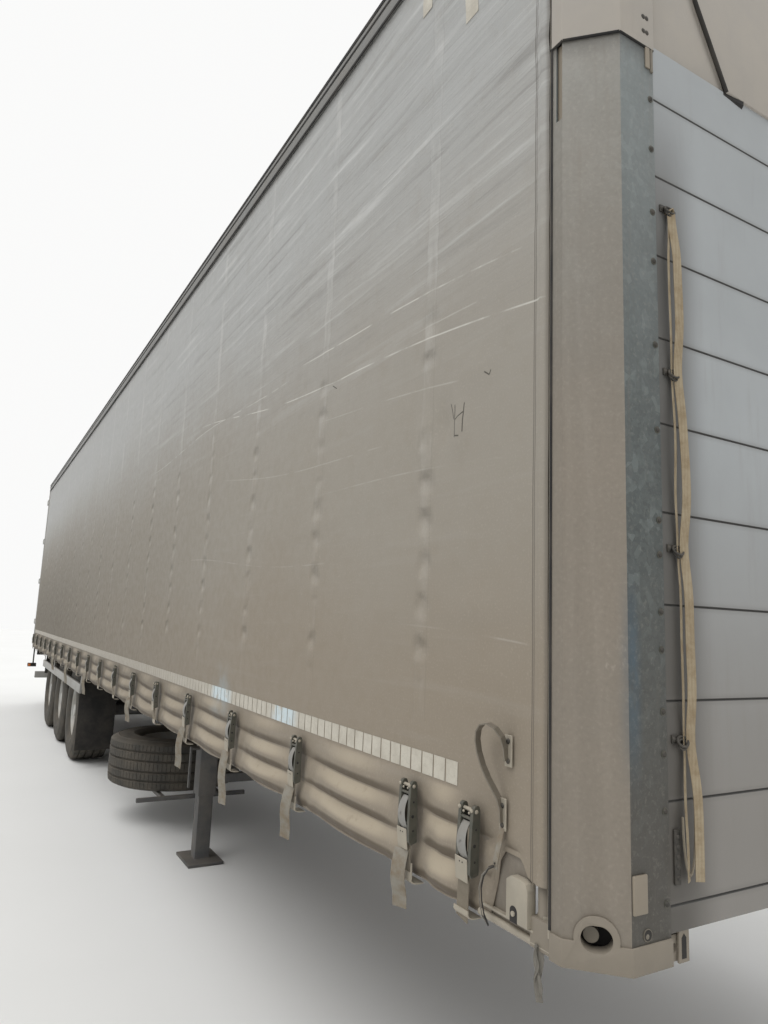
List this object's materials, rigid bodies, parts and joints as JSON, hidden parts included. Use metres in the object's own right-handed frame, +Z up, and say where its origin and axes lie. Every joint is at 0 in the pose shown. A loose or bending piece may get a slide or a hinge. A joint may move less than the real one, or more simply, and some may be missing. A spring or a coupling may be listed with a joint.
{
  "type": "curtain-sided semi trailer",
  "caption": "Three-axle semi trailer with sliding side curtains, boarded front wall, rear doors and landing legs; it hauls palletised freight behind a tractor.",
  "frame": {"origin": "on the ground under the middle of the body", "axes": "+X forward to the front wall and king pin, +Y to the left side, +Z up"},
  "size_m": [13.687, 2.66, 3.96],
  "materials": {
    "chassis": "satin",
    "galvanised": "spangled zinc, dusty",
    "steel": "worn bare steel",
    "aluminium": "anodised, dusty",
    "planks": "dusty grey boards",
    "deck": "coated birch plywood",
    "lath": "planed boards",
    "curtain": "coated woven cloth, dusty",
    "webbing": "woven strap, dusty",
    "door": "satin",
    "tyre": "dusty rubber",
    "rim": "silver paint, dusty",
    "rubber": "dull",
    "lamp": "red lens",
    "guard": "moulded black plastic"
  },
  "bodies": {
    "trailer": {"main_beams": "chassis", "crossmembers": "chassis", "side_raves": "galvanised", "floor": "deck", "coupling_plate": "steel", "king_pin": "steel", "front_wall": "planks", "front_corner_posts": "galvanised", "corner_castings": "galvanised", "front_caps": "galvanised", "front_header": "planks", "front_sill": "chassis", "roof_rails": "aluminium", "roof_bows": "aluminium", "roof_sheet": "curtain", "curtain_left": "curtain", "curtain_right": "curtain", "sliding_posts": "galvanised", "side_laths": "lath", "rear_frame": "galvanised", "hinge_ears": "galvanised", "underrun_bar": "chassis", "tail_lamps": "lamp", "marker_lamps": "rubber", "buckles": "galvanised", "buckle_straps": "webbing", "tension_poles": "aluminium", "landing_legs": "chassis", "leg_bracing": "chassis", "spare_carrier": "chassis", "spare_tyre": "tyre", "spare_rim": "rim", "hanger_brackets": "chassis", "trailing_arms": "chassis", "axle_beams": "chassis", "air_bags": "rubber", "shock_absorbers": "chassis", "brake_chambers": "chassis", "air_tanks": "chassis", "mudguards": "guard", "wheel_strips": "aluminium", "mud_flaps": "rubber", "pull_handles": "galvanised", "lashing_rings": "steel"},
    "door_left": {"door_left": "door", "lock_rods_left": "galvanised"},
    "door_right": {"door_right": "door", "lock_rods_right": "galvanised"},
    "wheel_1_left": {"tyre_1_left": "tyre", "rim_1_left": "rim"},
    "wheel_1_right": {"tyre_1_right": "tyre", "rim_1_right": "rim"},
    "wheel_2_left": {"tyre_2_left": "tyre", "rim_2_left": "rim"},
    "wheel_2_right": {"tyre_2_right": "tyre", "rim_2_right": "rim"},
    "wheel_3_left": {"tyre_3_left": "tyre", "rim_3_left": "rim"},
    "wheel_3_right": {"tyre_3_right": "tyre", "rim_3_right": "rim"}
  },
  "joints": [
    {"name": "door_left_swing", "type": "hinge", "parent": "trailer", "child": "door_left", "pos_m": [-6.875, 1.268, 2], "axis": [0, 0, -1], "range_deg": [0, 270]},
    {"name": "door_right_swing", "type": "hinge", "parent": "trailer", "child": "door_right", "pos_m": [-6.875, -1.268, 2], "axis": [0, 0, 1], "range_deg": [0, 270]},
    {"name": "wheel_1_left_spin", "type": "hinge", "parent": "trailer", "child": "wheel_1_left", "pos_m": [-1.21, 1.02, 0.536], "axis": [0, 1, 0], "continuous": true},
    {"name": "wheel_1_right_spin", "type": "hinge", "parent": "trailer", "child": "wheel_1_right", "pos_m": [-1.21, -1.02, 0.536], "axis": [0, 1, 0], "continuous": true},
    {"name": "wheel_2_left_spin", "type": "hinge", "parent": "trailer", "child": "wheel_2_left", "pos_m": [-2.52, 1.02, 0.536], "axis": [0, 1, 0], "continuous": true},
    {"name": "wheel_2_right_spin", "type": "hinge", "parent": "trailer", "child": "wheel_2_right", "pos_m": [-2.52, -1.02, 0.536], "axis": [0, 1, 0], "continuous": true},
    {"name": "wheel_3_left_spin", "type": "hinge", "parent": "trailer", "child": "wheel_3_left", "pos_m": [-3.83, 1.02, 0.536], "axis": [0, 1, 0], "continuous": true},
    {"name": "wheel_3_right_spin", "type": "hinge", "parent": "trailer", "child": "wheel_3_right", "pos_m": [-3.83, -1.02, 0.536], "axis": [0, 1, 0], "continuous": true}
  ]
}
